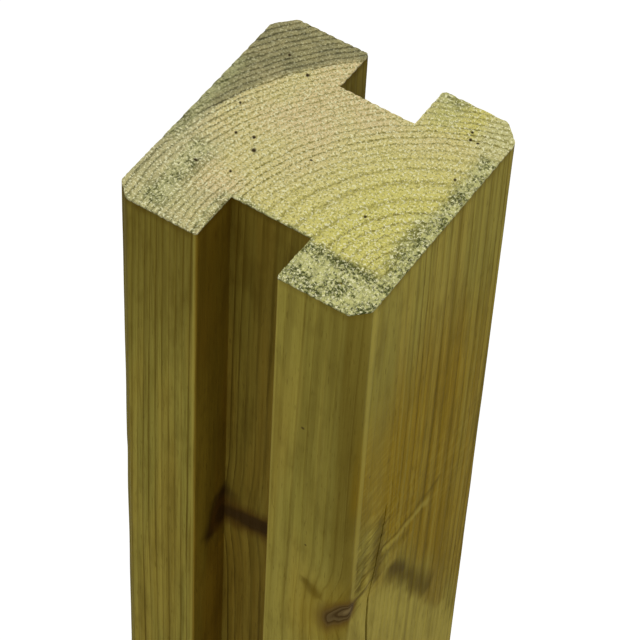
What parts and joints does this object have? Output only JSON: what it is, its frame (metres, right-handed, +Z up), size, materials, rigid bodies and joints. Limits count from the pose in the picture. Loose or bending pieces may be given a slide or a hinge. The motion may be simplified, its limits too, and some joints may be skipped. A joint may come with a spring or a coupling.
{
  "type": "slotted fence post",
  "caption": "Straight softwood fence post with square-sawn ends, chamfered corners and full-length grooves down opposite faces that hold the edges of fence panels.",
  "frame": {"origin": "middle of the foot, on the ground-end saw cut", "axes": "+Z up the post along the grain, -Y out of the front groove, +Y out of the back groove, +X towards the plain face with the drying check"},
  "size_m": [0.094, 0.097, 1.8],
  "materials": {
    "treated_softwood": "planed sides and sawn ends, green-brown from pressure treatment, unpainted"
  },
  "bodies": {
    "root": {"post": "treated_softwood"}
  },
  "joints": []
}
